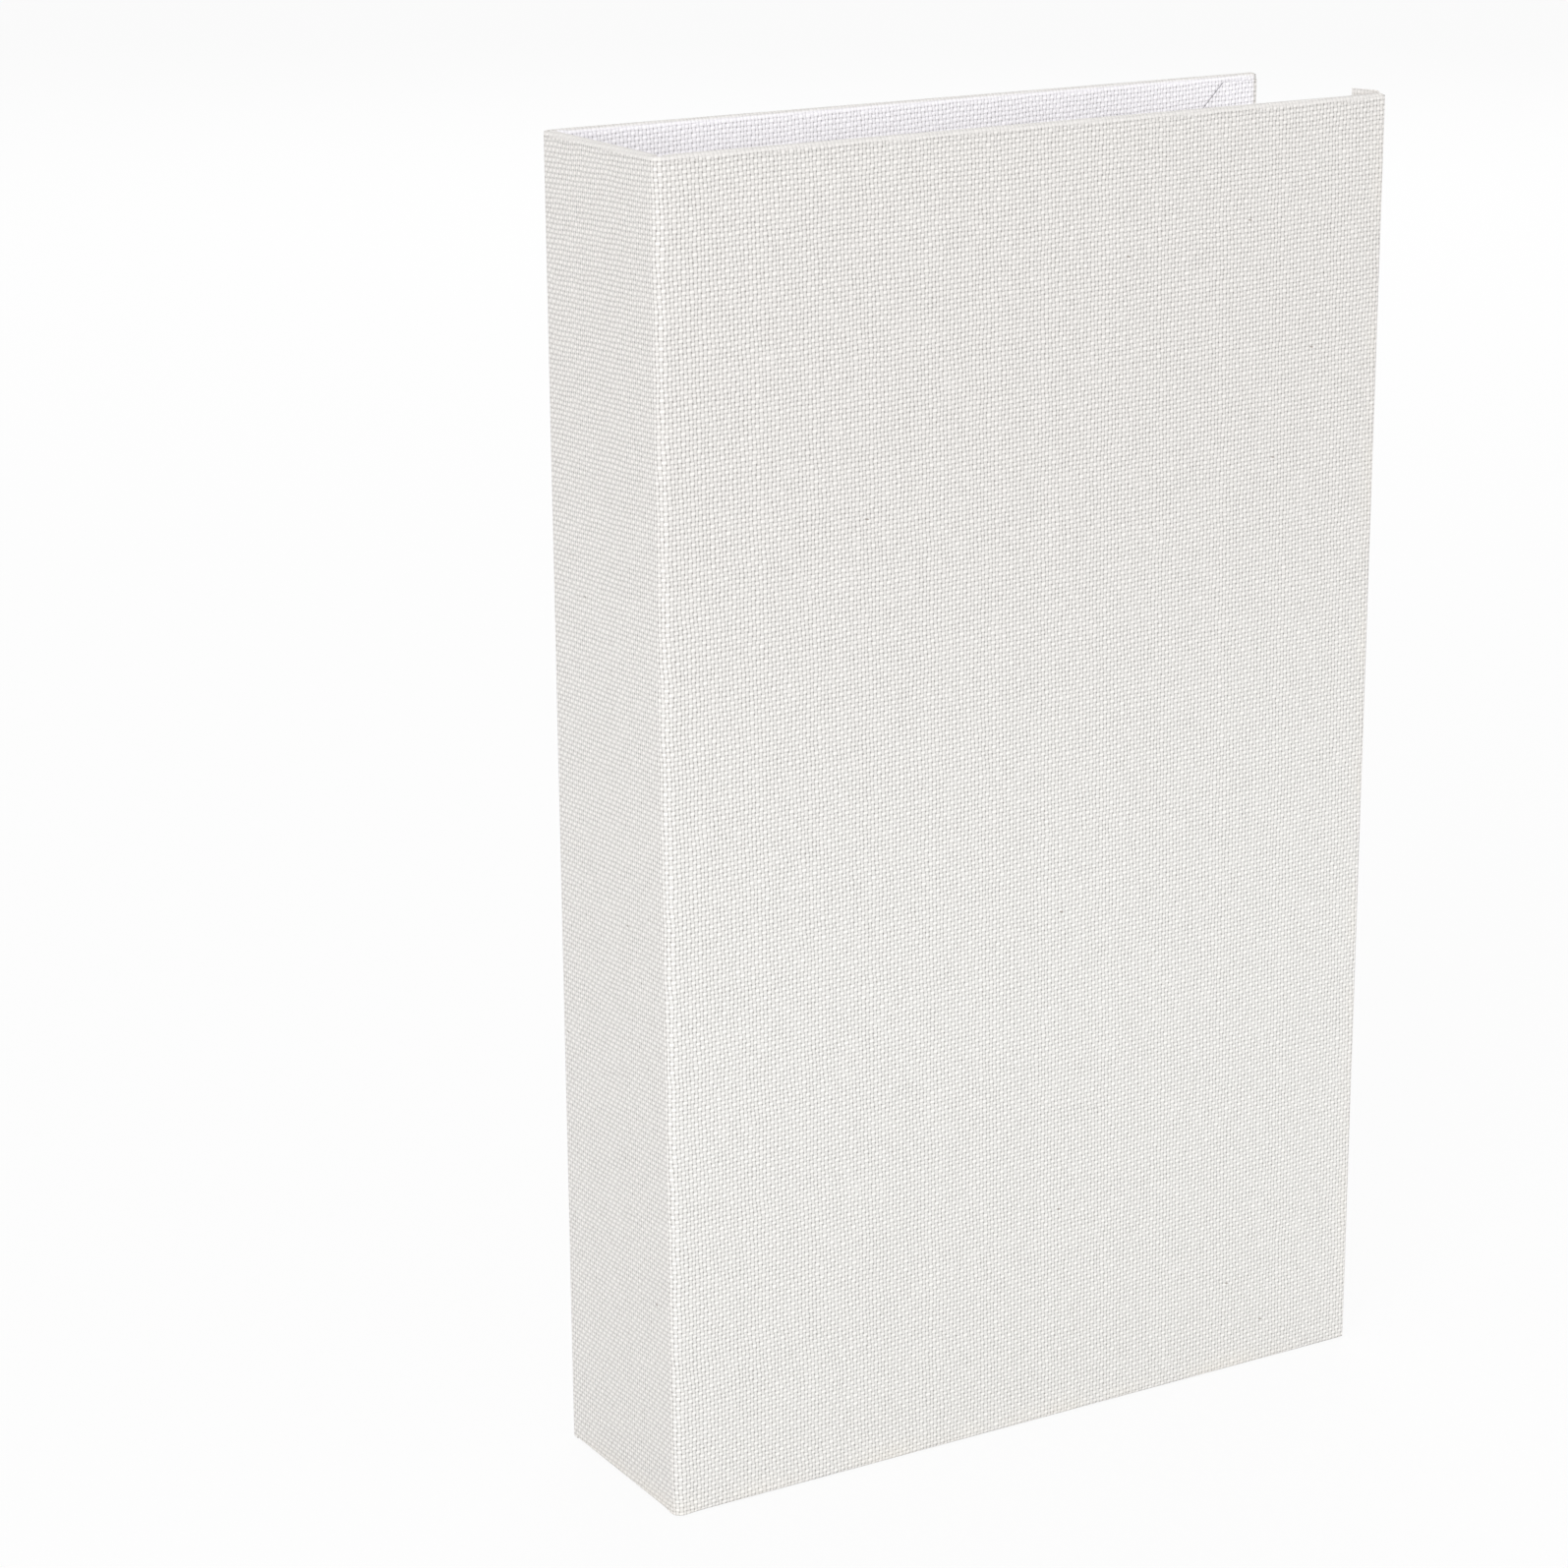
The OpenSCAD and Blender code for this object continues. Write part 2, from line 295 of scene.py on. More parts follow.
def clothFinish(name, look, tone=1.0):
    bands, lightness, marks = clothBands, clothLight, clothMarks
    finish = Finish(bpy.data.materials.new(name))
    flat = finish.node("ShaderNodeUVMap", {"uv_map": "flatCloth"})
    u, v = finish.parts(flat)[:2]
    threads = threadsAt(finish, flat, u, v, look)
    warp, weft = threads["warp"], threads["weft"]
    height, warpOnTop, besideWarp, hole = threadRelief(finish, u, v, threads)

    # where on the sheet
    middle = look["wholeSheet"] / 2000
    beyond = abs(u - middle) - middle  # past the fore-edge
    # near the head rounding, where the smooth painted highlight goes
    nearHead = (finish.band(v, bands["headRound"], look["headRow"])
                * (1 - finish.band(v, bands["headRoundEnd"], look["headRow"])))
    # painted light on the turn-ins, which lie in shade inside the case
    turnInLight = finish.band(v, bands["headTurnIn"], look["headRow"]).maths(
        "MAXIMUM", finish.band(beyond, bands["foreTurnIn"]) * (1 - finish.band(v, bands["foreTurnInEnd"])))
    # painted shade towards the head and over the spine
    paintedShadeTint = finish.band(v, bands["shadedHead"]).maths(
        "MAXIMUM", finish.band(u, bands["shadedSpine"]) * marks["shadedSpineShare"])
    cloud = finish.noise(flat, marks["cloudScale"], 2.0)
    handled = ((1 - finish.band(v, bands["tail"])).maths(
        "MAXIMUM", (1 - finish.band(abs(beyond), bands["foreEdge"])) * marks["foreEdgeShare"])
        * finish.rise(cloud, *marks["cloud"]) * marks["handledShare"])

    # the gaps between the threads, in painted shade
    patches = finish.noise(flat, lightness["patchScale"], 1.0)
    depth = hole * (lightness["gapShadeDepth"][0] + lightness["gapShadeDepth"][1] * patches)
    headShadeLine = ((1 - finish.band(abs(v - look["headRow"] / 1000), bands["headShadeLine"]))
                * (lightness["headLineWarp"][0] + lightness["headLineWarp"][1] * besideWarp)
                * (lightness["headLinePatch"][0] + lightness["headLinePatch"][1] * patches))
    opened = 1 - lightness["headClosed"] * nearHead - lightness["turnInShadeOff"] * turnInLight
    dark = (depth * opened).maths("MAXIMUM", headShadeLine).maths("MINIMUM", 1.0)

    # the threads themselves, with a painted highlight on their crests
    warpShade = finish.node("ShaderNodeTexWhiteNoise", {"noise_dimensions": "1D"}, {"W": warp})
    weftShade = finish.node("ShaderNodeTexWhiteNoise", {"noise_dimensions": "1D"}, {"W": weft + 0.37})
    shade = weftShade + (warpShade - weftShade) * warpOnTop
    fibres = finish.noise(finish.point(u * lightness["fibreScale"], v * lightness["fibreScale"]), 1.0, 1.0)
    crossing = finish.node(
        "ShaderNodeTexWhiteNoise", {"noise_dimensions": "2D"}, {"Vector": finish.point(warp, weft)})
    # the painted highlight is strongest where a warp thread comes up, weaker on the weft
    warpCrest = (finish.rise(height, *lightness["warpCrest"])
                 * (1 - lightness["crestFade"] * finish.rise(abs(threads["fromWeft"]), *lightness["crestEnd"])))
    crestHighlight = ((lightness["weftCrest"] + (warpCrest - lightness["weftCrest"]) * warpOnTop)
             * (lightness["crossingBase"] + lightness["crossingShade"] * crossing))
    # the painted highlight is evened out along the head rounding
    crestHighlight = crestHighlight + (lightness["headCrest"] - crestHighlight) * nearHead * lightness["headShare"]
    light = ((1 - lightness["threadShade"] + lightness["threadShade"] * shade)
             * (1 - lightness["fibreShade"] / 2 + lightness["fibreShade"] * fibres)
             * (lightness["base"] + lightness["turnInLight"] * turnInLight + lightness["crestHighlight"] * crestHighlight) * tone)

    # the flecks
    fleckPlace = finish.point(u * marks["fleckAcross"][0] + v * marks["fleckAcross"][1],
                              u * marks["fleckUp"][0] + v * marks["fleckUp"][1])
    fleckNear, fleckColour = (
        finish.node("ShaderNodeTexVoronoi", {"voronoi_dimensions": "2D"}, {"Vector": fleckPlace, "Scale": 1.0}, out)
        for out in (0, 1))
    fleck = ((1 - finish.rise(fleckNear, marks["fleckSize"] * marks["fleckCore"], marks["fleckSize"]))
             * (finish.parts(fleckColour)[0] > marks["fleckPick"]) * marks["fleckShare"])

    # all of it together
    threadColour = finish.node("ShaderNodeVectorMath", {"operation": "SCALE"}, {0: look["thread"], "Scale": light})
    # the gaps get their painted shade
    colour = finish.blend(dark, threadColour, (*look["gap"], 1))
    # painted shade towards the head and over the spine
    tint = finish.blend(paintedShadeTint, (1, 1, 1, 1), (*look["paintedShadeTint"], 1))
    # painted light, a little bluish, on the turn-ins
    tint = finish.blend(turnInLight, tint, (*look["turnInLight"], 1))
    colour = finish.node("ShaderNodeMix", {"data_type": "RGBA", "blend_type": "MULTIPLY"},
                         {0: 1.0, 6: colour, 7: tint}, out=2)
    colour = finish.blend(handled, colour, (*look["handled"], 1))
    colour = finish.blend(fleck, colour, (*look["fleck"], 1))
    relief = finish.node("ShaderNodeBump", {}, {
        "Height": height + fibres * look["fibreRelief"], "Distance": look["relief"] / 1000, "Strength": 1.0})
    shader = finish.node("ShaderNodeBsdfPrincipled", {}, {
        "Base Color": colour, "Roughness": look["rough"], "Normal": relief, "Sheen Weight": look["sheen"],
        "Sheen Roughness": look["sheenRough"], "Specular IOR Level": look["specular"]})
    return finish.finishWith(shader)


# Uncoated paper with fine fibres and a slight mottle
paperLook = {
    "light": (0.86, 0.845, 0.81, 1), "dark": (0.77, 0.75, 0.71, 1),
    "mottleScale": 420.0, "fibreScale": 2400.0, "mottleShare": 0.45, "fibreShare": 0.55,
    "rough": 0.9, "relief": 0.03, "specular": 0.3,
}


def paperFinish(name, look):
    finish = Finish(bpy.data.materials.new(name))
    place = finish.node("ShaderNodeTexCoord", {}, out="Object")
    mottle = finish.noise(place, look["mottleScale"], 4.0)
    fibres = finish.noise(place, look["fibreScale"], 3.0)
    share = finish.rise(mottle * look["mottleShare"] + fibres * look["fibreShare"], 0.25, 0.75)
    colour = finish.blend(share, look["light"], look["dark"])
    relief = finish.node("ShaderNodeBump", {}, {
        "Height": fibres, "Distance": look["relief"] / 1000, "Strength": 1.0})
    shader = finish.node("ShaderNodeBsdfPrincipled", {}, {
        "Base Color": colour, "Roughness": look["rough"], "Normal": relief, "Specular IOR Level": look["specular"]})
    return finish.finishWith(shader)


# Grey pulp board: mixed grey and brown fibres with dark and light specks
boardLook = {
    "light": (0.36, 0.34, 0.31, 1), "dark": (0.24, 0.22, 0.20, 1), "speck": (0.5, 0.47, 0.42, 1),
    "pulpScale": 600.0, "cloudScale": 60.0, "speckScale": 1900.0,
    "pulpShare": 0.7, "cloudShare": 0.3, "speckShare": 0.6, "speckPick": (0.66, 0.72),
    "rough": 0.93, "relief": 0.06, "specular": 0.2,
}


def boardFinish(name, look):
    finish = Finish(bpy.data.materials.new(name))
    place = finish.node("ShaderNodeTexCoord", {}, out="Object")
    pulp = finish.noise(place, look["pulpScale"], 5.0)
    cloud = finish.noise(place, look["cloudScale"], 2.0)
    specks = finish.rise(finish.noise(place, look["speckScale"], 1.0), *look["speckPick"])
    colour = finish.blend(pulp * look["pulpShare"] + cloud * look["cloudShare"], look["light"], look["dark"])
    colour = finish.blend(specks * look["speckShare"], colour, look["speck"])
    relief = finish.node("ShaderNodeBump", {}, {
        "Height": pulp, "Distance": look["relief"] / 1000, "Strength": 1.0})
    shader = finish.node("ShaderNodeBsdfPrincipled", {}, {
        "Base Color": colour, "Roughness": look["rough"], "Normal": relief, "Specular IOR Level": look["specular"]})
    return finish.finishWith(shader)


cloth = clothFinish("bookCloth", bookCloth)
# the raw cut edges of the plain turn-in ends are much darker, a painted shadow line
shadowedCutEdge = clothFinish("cutClothEdgeShadow", bookCloth, tone=0.35)
# the tray cloth is a sheet of its own, without the covering cloth's turn-ins, their painted light and its painted
# shade
trayBookCloth = clothFinish("trayBookCloth", {**bookCloth, "wholeSheet": 2000.0, "paintedShadeTint": (1.0, 1.0, 1.0)})
paper = paperFinish("liningPaper", paperLook)
greyboard = boardFinish("greyboard", boardLook)
print("finishes made")


# A point of the closed case in the frame, in metres
def inFrame(point, cover):
    x, y, z = point
    return Vector(((x - case["width"] / 2) / 1000, cover * (y - case["depth"] / 2) / 1000, z / 1000))


def smooth(value, start, end):
    t = min(1.0, max(0.0, (value - start) / (end - start)))
    return t * t * (3 - 2 * t)


# Stations from one number to another, close together near both ends
def stations(start, end, step=4.0, near=0.6, growth=1.45):
    half, gap, at = [], near, near
    length = abs(end - start)
    while at < length / 2 - gap / 2:
        half.append(at)
        gap = min(step, gap * growth)
        at += gap
    way = 1 if end > start else -1
    return [start] + [start + way * d for d in half] + [end - way * d for d in reversed(half)] + [end]


# A sheet starts as a flat grid, and each of its points is then laid where the cloth goes. place gives
# a point's place and flat its place on the cut cloth, in millimetres. facing names a cell and the way
# that its outside faces.
def layGrid(name, columns, rows, place, flat, cover, facing):
    bpy.ops.mesh.primitive_grid_add(x_subdivisions=columns - 1, y_subdivisions=rows - 1, size=1)
    sheet = bpy.context.object
    sheet.name = name
    mesh = sheet.data
    spots = [(i, j) for j in range(rows) for i in range(columns)]
    if len(spots) != len(mesh.vertices):
        raise ValueError(f"{name}: {len(mesh.vertices)} points for {len(spots)} spots")
    for vertex, (i, j) in zip(mesh.vertices, spots):
        vertex.co = inFrame(place(i, j), cover)
    layer = mesh.uv_layers[0]
    layer.name = "flatCloth"
    for loop in mesh.loops:
        u, v = flat(*spots[loop.vertex_index])
        layer.data[loop.index].uv = (u / 1000, v / 1000)
    i, j, towards = facing
    cell = next(p for p in mesh.polygons if j * columns + i == min(p.vertices))
    if cell.normal.dot(Vector((towards[0], cover * towards[1], towards[2]))) < 0:
        mesh.flip_normals()
    sheet.select_set(False)
    return sheet


weldWithin = 0.000004  # metres


# Joins patches into one cloth, welds them where they meet and gives the cloth its thickness, inwards
def sew(name, patches, thickness, materials, sharp=60):
    bpy.ops.object.select_all(action="DESELECT")
    for patch in patches:
        patch.select_set(True)
    bpy.context.view_layer.objects.active = patches[0]
    if len(patches) > 1:
        bpy.ops.object.join()
    sheet = bpy.context.object
    sheet.name = sheet.data.name = name
    bpy.ops.object.mode_set(mode="EDIT")
    bpy.ops.mesh.select_all(action="SELECT")
    bpy.ops.mesh.remove_doubles(threshold=weldWithin)
    bpy.ops.object.mode_set(mode="OBJECT")
    for material in materials:
        sheet.data.materials.append(material)
    shell = sheet.modifiers.new("thickness", "SOLIDIFY")
    shell.thickness = thickness / 1000
    shell.offset = -1
    shell.material_offset_rim = len(materials) - 1
    bpy.ops.object.modifier_apply(modifier=shell.name)
    bpy.ops.object.shade_smooth_by_angle(angle=math.radians(sharp))
    sheet.select_set(False)
    return sheet


# The way of the cloth's outside over a board edge: (reach past the rounding's start, depth, length)
def overEdge(thick, radius, steps=5):
    quarter = math.pi / 2
    first = [(radius * math.sin(a), radius * (1 - math.cos(a)), radius * a)
             for a in (quarter * k / steps for k in range(steps + 1))]
    straight = thick - 2 * radius
    second = [(radius * math.cos(a), thick - radius + radius * math.sin(a), radius * (quarter + a) + straight)
              for a in (quarter * k / steps for k in range(steps + 1))]
    return first + second


edgeSteps = 12  # points in that way
cornerSteps = 6
foreEdgeX = case["width"] - case["edgeRound"]
insideX = stations(foreEdgeX, case["width"] - case["turnIn"])
# rows of the covers and of the head and tail turn-ins, heights in millimetres
tailZ = [1.8, 2.6, 3.8, 5.4, 7.5, 10.0, 13.0, 16.5, case["turnIn"]]
headZ = [case["height"] - z for z in reversed(tailZ)]
midZ = stations(case["turnIn"], case["height"] - case["turnIn"], near=3.6)[1:-1]
rowZ = tailZ + midZ + headZ


# Columns of the sheet from the fore-edge over the cover, round the joint and over the spine
def columnsAcross(spineEnd):
    width, bend, board = case["width"], case["jointRound"], case["boardFrom"]
    columns = []

    def add(x, y, way, fromCorner, length):
        deep = smooth(fromCorner, case["jointTo"], board)
        full = smooth(fromCorner, case["jointTo"], case["roundFrom"])
        thick = case["jointThick"] + (case["coverThick"] - case["jointThick"]) * deep
        radius = case["jointEdgeRound"] + (case["edgeRound"] - case["jointEdgeRound"]) * full
        columns.append({"x": x, "y": y, "out": way, "thick": thick, "round": radius, "u": length,
                        "short": case["jointShort"] * (1 - full), "edge": overEdge(thick, radius)})

    for x in insideX + stations(width - case["turnIn"], board)[1:-1] + list(case["jointSteps"]):
        add(x, 0.0, (0, -1), x, width - x)
    for k in range(case["bendSteps"] + 1):
        a = math.pi / 2 * k / case["bendSteps"]
        add(bend - bend * math.sin(a), bend - bend * math.cos(a), (-math.sin(a), -math.cos(a)), 0.0,
            width - bend + bend * a)
    bent = width - bend + bend * math.pi / 2
    for y in list(reversed(case["jointSteps"])) + stations(board, spineEnd)[1:]:
        add(0.0, y, (-1, 0), y, bent + y - bend)
    return columns


def coverSheet(name, cover, spineEnd, headEnds, tailEnds):
    columns = columnsAcross(spineEnd)
    height, width = case["height"], case["width"]
    rows = ([("tailFlap", z) for z in reversed(tailZ)] + [("tailEdge", k) for k in reversed(range(edgeSteps))]
            + [("main", z) for z in rowZ]
            + [("headEdge", k) for k in range(edgeSteps)] + [("headFlap", z) for z in reversed(headZ)])
    wholeU = width - case["jointRound"] + case["jointRound"] * math.pi / 2 + case["depth"] / 2 - case["jointRound"]

    def clothU(u):
        return u if cover == frontCover else 2 * wholeU - u

    def placeMain(i, j):
        c, (zone, at) = columns[i], rows[j]
        depth, z = 0.0, at
        if zone.endswith("Flap"):
            depth = c["thick"]
        elif zone.endswith("Edge"):
            reach, depth, length = c["edge"][at]
            z = height - c["round"] + reach if zone == "headEdge" else c["round"] - reach
        fromEnd = min(z, height - z)
        z += c["short"] * (1 - smooth(fromEnd, 0.0, case["shortWithin"])) * (1 if z < height / 2 else -1)
        return c["x"] - c["out"][0] * depth, c["y"] - c["out"][1] * depth, z

    def flatMain(i, j):
        c, (zone, at) = columns[i], rows[j]
        v = at
        if zone.endswith("Edge"):
            beyond = c["edge"][at][2]
            v = height - c["round"] + beyond if zone == "headEdge" else c["round"] - beyond
        elif zone == "headFlap":
            v = height - c["round"] + c["edge"][-1][2] + (height - c["round"] - at)
        elif zone == "tailFlap":
            v = c["round"] - c["edge"][-1][2] - (at - c["round"])
        return clothU(c["u"]), v

    mainRow = len(tailZ) + edgeSteps + len(rowZ) // 2
    patches = [layGrid(name, len(columns), len(rows), placeMain, flatMain, cover, (10, mainRow, (0, -1, 0)))]

    # round the fore-edge
    radius, edge = case["edgeRound"], overEdge(case["coverThick"], case["edgeRound"])
    sideZ = [radius] + rowZ + [height - radius]
    patches.append(layGrid(
        "foreEdge", edgeSteps, len(sideZ),
        lambda i, j: (foreEdgeX + edge[i][0], edge[i][1], sideZ[j]),
        lambda i, j: (clothU(radius - edge[i][2]), sideZ[j]), cover, (5, 20, (1, 0, 0))))

    # the fore-edge turn-in between the head and tail turn-ins
    flapZ = [z for z in rowZ if case["turnIn"] <= z <= height - case["turnIn"]]
    patches.append(layGrid(
        "foreEdgeTurnIn", len(insideX), len(flapZ),
        lambda i, j: (insideX[i], case["coverThick"], flapZ[j]),
        lambda i, j: (clothU(radius - edge[-1][2] - (foreEdgeX - insideX[i])), flapZ[j]),
        cover, (3, 10, (0, 1, 0))))

    # the two rounded corners
    turns = [math.pi / 2 * k / cornerSteps for k in range(cornerSteps + 1)]
    for atHead in (True, False):
        def upright(z, atHead=atHead):
            return z if atHead else height - z

        patches.append(layGrid(
            "corner", len(turns), edgeSteps,
            lambda i, j: (foreEdgeX + edge[j][0] * math.cos(turns[i]), edge[j][1],
                          upright(height - radius + edge[j][0] * math.sin(turns[i]))),
            lambda i, j: (clothU(radius - edge[j][2] * math.cos(turns[i])),
                          upright(height - radius + edge[j][2] * math.sin(turns[i]))),
            cover, (3, 5, (1, 0, 1 if atHead else -1))))
    sheet = sew(name, patches, case["clothThick"], [cloth])

    flaps = [cornerFlap(cover, atHead, headEnds if atHead else tailEnds, clothU) for atHead in (True, False)]
    bpy.ops.object.select_all(action="DESELECT")
    for flap in flaps:
        flap.select_set(True)
    sheet.select_set(True)
    bpy.context.view_layer.objects.active = sheet
    bpy.ops.object.join()
    bpy.ops.object.select_all(action="DESELECT")
    return sheet


# At its ends the fore-edge turn-in lies over the other one. end is how far below the head it stops,
# straight how far it runs along the head before its slanting cut, start how far from the fore-edge,
# slope how much lower it ends beside the fore-edge. Under the tray, from trayX and trayZ on, it is sunk
plainEnd = {
    "end": 1.7, "straight": 11.0, "start": 0.2, "slope": 0.0, "thick": 0.32, "trayX": 10.0, "trayZ": 10.0,
}
backEnd = {**plainEnd, "trayX": 14.8, "trayZ": 13.4}
proudEnd = {
    "end": -1.55, "straight": 8.4, "start": 0.1, "slope": 1.08, "thick": 0.7, "trayX": 10.0, "trayZ": 10.0,
}

# What all ends share. rows are millimetres past the end
turnInEnds = {
    "rows": (0, 0.35, 0.8, 1.5, 2.3, 3.2, 4.3, 5.6, 7.0, 8.5, 10.2, 12, 14, 16, 18, 20, 22, 24),
    "columns": 23, "crowding": 1.15,
    "startBack": 1.3,  # in radii, where it begins on the rounding of the fore-edge
    "lift": 0.40, "liftOver": 1.2, "level": -0.04, "fade": (18.5, 23.0), "sunk": 0.5, "sinkOver": (-0.35, 0.05),
    "wrapOver": (1.6, 3.6),  # a proud end stands straight near the head and wraps the edge further down
    "cornerCut": 0.3, "cornerDrop": 0.6, "dropOver": 1.1, "slopeOver": 3.0,
}


def cornerFlap(cover, atHead, ends, clothU):
    look = turnInEnds
    height, width, thick, radius = case["height"], case["width"], case["coverThick"], case["edgeRound"]
    whole = overEdge(thick, radius)[-1][2]
    begin = whole - radius * look["startBack"]
    below = [ends["end"] + d for d in look["rows"]]
    share = [k / (look["columns"] - 1) for k in range(look["columns"])]
    proud = ends["end"] < 0
    straightTo, wrapTo = look["wrapOver"]

    # a point of the cloth's outside at a length along its way round the fore-edge
    def along(length):
        quarter = radius * math.pi / 2
        if length <= whole - quarter:
            return width, radius + (length - quarter), (1.0, 0.0)
        if length < whole:
            a = (length - (whole - quarter)) / radius
            return (foreEdgeX + radius * math.cos(a), thick - radius + radius * math.sin(a),
                    (math.cos(a), math.sin(a)))
        return foreEdgeX - (length - whole), thick, (0.0, 1.0)

    def aside(b):  # the end's own corner is rounded
        return ends["start"] + look["cornerCut"] * (1 - smooth(b, ends["end"], straightTo))

    def reach(b):
        furthest = min(case["turnIn"], ends["straight"] + max(0.0, b - max(0.0, ends["end"])))
        return whole + furthest - radius

    def place(i, j):
        b = below[j]
        wrapped = smooth(b, straightTo, wrapTo) if proud else 1.0
        first = begin + (1 - wrapped) * (whole + aside(b) - radius - begin)
        length = first + (reach(b) - first) * share[i] ** look["crowding"]
        x, y, out = along(length)
        a = width - x
        if wrapped < 1:
            flatX = width - (radius + length - whole)
            x, y = x + (flatX - x) * (1 - wrapped), y + (thick - y) * (1 - wrapped)
            out = (out[0] * wrapped, 1 - (1 - out[1]) * wrapped)
        lift = look["lift"] * (smooth(length, begin, begin + look["liftOver"]) * wrapped + 1 - wrapped)
        lift = lift * (1 - smooth(b, *look["fade"])) + look["level"]
        lift -= look["sunk"] * smooth(min(a - ends["trayX"], b - ends["trayZ"]), *look["sinkOver"])
        z = height - b - ends["slope"] * (1 - smooth(b, ends["end"], look["slopeOver"])) * (
            (1 - a / ends["straight"]) + look["cornerDrop"] * (1 - smooth(a, 0.0, look["dropOver"])))
        return x + out[0] * lift, y + out[1] * lift, z if atHead else height - z

    def flat(i, j):
        b = below[j]
        first = begin if b > straightTo else whole + aside(b) - radius
        length = first + (reach(b) - first) * share[i] ** look["crowding"]
        z = height - b
        return clothU(radius - length), z if atHead else height - z

    flap = layGrid("turnInEnd", len(share), len(below), place, flat, cover, (18, 8, (0, 1, 0)))
    # a plain end's cut edge carries the painted shadow line, a proud end's does not
    return sew("turnInEnd", [flap], ends["thick"], [cloth, cloth if proud else shadowedCutEdge])


# A narrow band through the middle of the joint, between two bodies. bendAtJoint works out where it lies but does
# not bend the cloth; it only bakes the sheet's place into its points
jointBand = {"middle": 1.0, "half": 0.33}


def bendAtJoint(sheet, cover):
    near, far = jointBand["middle"] - jointBand["half"], jointBand["middle"] + jointBand["half"]
    onSpine, onCover = inFrame((near, far, 0.0), cover), inFrame((far, near, 0.0), cover)
    if cover == frontCover:
        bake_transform(sheet)
    else:
        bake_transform(sheet)


frontSheet = coverSheet("front_covering_cloth", frontCover, case["seam"], proudEnd, plainEnd)
bendAtJoint(frontSheet, frontCover)
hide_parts("front_cloth", "front_joint_cloth", "spine_cloth")
backSheet = coverSheet("back_covering_cloth", backCover, case["depth"] - case["seam"], backEnd, backEnd)
bendAtJoint(backSheet, backCover)
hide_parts("back_cloth", "back_joint_cloth")
print("covering cloth folded")


# A strip of cloth over the inside of each joint
lining = {
    "reach": 22.0, "from": 18.5, "proud": 0.3, "thick": 0.28, "seam": 27.5,
    "sunk": 0.33, "sinkOver": (3.9, 4.9),  # it goes down under the tray floor
}


def hingeLining(name, cover):
    columns = [c for c in columnsAcross(lining["seam"]) if c["x"] <= lining["reach"]]
    zs = stations(lining["from"], case["height"] - lining["from"])
    wholeU = case["width"] + case["depth"] / 2

    def place(i, j):
        c = columns[i]
        proud = lining["proud"]
        if c["out"] == (0, -1):
            proud -= lining["sunk"] * smooth(c["x"], *lining["sinkOver"])
        depth = c["thick"] + proud
        return c["x"] - c["out"][0] * depth, c["y"] - c["out"][1] * depth, zs[j]

    def flat(i, j):
        u = columns[i]["u"]
        return u if cover == frontCover else 2 * wholeU - u, zs[j]

    sheet = layGrid(name, len(columns), len(zs), place, flat, cover, (2, 10, (0, 1, 0)))
    return sew(name, [sheet], lining["thick"], [cloth])


frontLining = hingeLining("front_hinge_lining_cloth", frontCover)
bendAtJoint(frontLining, frontCover)
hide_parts("front_hinge_lining")
backLining = hingeLining("back_hinge_lining_cloth", backCover)
bendAtJoint(backLining, backCover)
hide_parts("back_hinge_lining", "spine_lining")
print("hinge lining glued in")


# The trays, in millimetres. inset is from the head and the tail, end the outside of the fore-edge wall
lidTray = {"inset": 10.0, "end": 194.0, "depth": 48.7, "cornerRound": 1.0}
baseTray = {"inset": 13.4, "end": 189.2, "depth": 46.65, "cornerRound": 1.0}
trayParts = {
    "start": 5.0, "wall": 2.6, "rimRound": 1.17, "floorTop": 4.6,
    "clothThick": 0.32, "aboveFloor": 0.05,  # the cloth stops there on the inside
    "capRound": 0.8, "capAngles": (90, 67, 45, 22), "cornerReach": 3.0,
    "clothTurnIn": 20.0,
    "paper": 0.25, "paperThick": 0.2, "paperGap": 0.12, "paperBend": 0.25, "paperSteps": 4, "paperUnder": 0.05,
    "paperWay": (0.9, 1.8, 2.0),  # lengths along the flat paper to half way up, to the bend and past it
}


